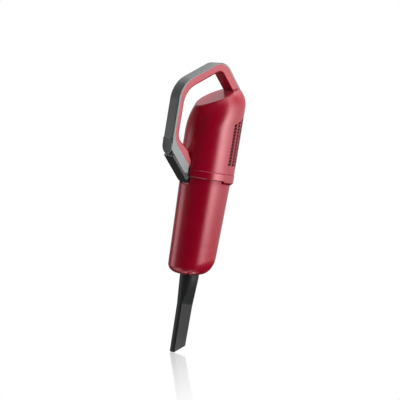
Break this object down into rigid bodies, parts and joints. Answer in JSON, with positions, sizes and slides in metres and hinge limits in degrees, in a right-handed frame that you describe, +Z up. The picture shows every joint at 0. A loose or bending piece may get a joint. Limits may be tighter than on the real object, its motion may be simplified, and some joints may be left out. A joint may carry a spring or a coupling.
{
  "type": "handheld vacuum",
  "caption": "Red handheld vacuum with a loop handle, slanted rear vents, a pull-off dust cup and a black crevice tool.",
  "frame": {"origin": "on the body axis, at the plane of the dust cup's inlet mouth", "axes": "+Z up along the body towards the handle, -X towards the front bar of the handle, +Y to the side"},
  "size_m": [0.1662, 0.1092, 0.5676],
  "materials": {
    "red_plastic": "satin gloss",
    "red_cup_plastic": "satin gloss",
    "silver_plastic": "satin silver paint",
    "black_gloss_plastic": "gloss",
    "grip_grey": "soft touch",
    "black_plastic": "fine texture",
    "nozzle_plastic": "satin",
    "black_rubber": "matte",
    "steel": "ground",
    "zinc_steel": "zinc plated",
    "lamination_steel": "stacked",
    "copper_winding": "enamelled wire",
    "brass": "bright",
    "carbon": "dull",
    "cast_aluminium": "as cast",
    "filter_paper": "pleated",
    "filter_foam": "open foam",
    "filter_mesh_cloth": "woven",
    "white_plastic": "fine texture"
  },
  "bodies": {
    "motor_unit": {"motor_housing": "red_plastic", "handle_frame": "red_plastic", "handle_trim": "silver_plastic", "latch_base": "silver_plastic", "front_band": "black_gloss_plastic", "grip_band": "grip_grey", "latch_pin": "steel", "latch_spring": "steel", "button_ring": "black_gloss_plastic", "power_switch": "black_plastic", "seat_plate": "black_plastic", "cup_seal": "black_rubber", "fan_shroud": "black_plastic", "diffuser": "black_plastic", "lower_bracket": "cast_aluminium", "upper_bracket": "cast_aluminium", "stator_core": "lamination_steel", "field_coils": "copper_winding", "bearings": "steel", "brush_holders": "brass", "carbon_brushes": "carbon", "mount_ring": "black_rubber", "mount_cap": "black_rubber", "exhaust_filter": "filter_foam", "cord_gland": "black_rubber", "plate_screws": "zinc_steel", "handle_screws": "zinc_steel"},
    "button": {"power_button": "black_gloss_plastic", "button_spring": "steel"},
    "latch": {"cup_latch": "black_plastic"},
    "rotor": {"impeller": "cast_aluminium", "impeller_nut": "zinc_steel", "motor_shaft": "steel", "armature_core": "lamination_steel", "armature_windings": "copper_winding", "commutator": "brass"},
    "filter": {"filter_cage": "white_plastic", "filter_mesh": "filter_mesh_cloth", "filter_pleats": "filter_paper"},
    "cup": {"dust_cup": "red_cup_plastic", "cup_collar": "red_cup_plastic", "inlet_duct": "black_plastic", "flap_pin": "steel"},
    "flap": {"inlet_flap": "black_rubber"},
    "tool": {"crevice_tool": "nozzle_plastic"}
  },
  "joints": [
    {"name": "button_press", "type": "slide", "parent": "motor_unit", "child": "button", "axis": [0.9925, 0, 0.1219], "range_m": [0, 0.0025], "stiffness_N_per_m": 400, "springref_m": -0.001},
    {"name": "latch_swing", "type": "hinge", "parent": "motor_unit", "child": "latch", "pos_m": [-0.0928, 0, 0.2227], "axis": [0, 1, 0], "range_deg": [0, 8], "stiffness_Nm_per_rad": 0.1, "springref_deg": -20.05},
    {"name": "rotor_spin", "type": "hinge", "parent": "motor_unit", "child": "rotor", "pos_m": [0, 0, 0.27], "axis": [0, 0, 1], "continuous": true},
    {"name": "filter_pull", "type": "slide", "parent": "motor_unit", "child": "filter", "axis": [0, 0, -1], "range_m": [0, 0.03]},
    {"name": "cup_pull", "type": "slide", "parent": "motor_unit", "child": "cup", "axis": [0, 0, -1], "range_m": [0, 0.2]},
    {"name": "flap_open", "type": "hinge", "parent": "cup", "child": "flap", "pos_m": [0.024, 0, 0.0646], "axis": [0, 1, 0], "range_deg": [0, 65]},
    {"name": "tool_pull", "type": "slide", "parent": "cup", "child": "tool", "axis": [0, 0, -1], "range_m": [0, 0.055]}
  ]
}
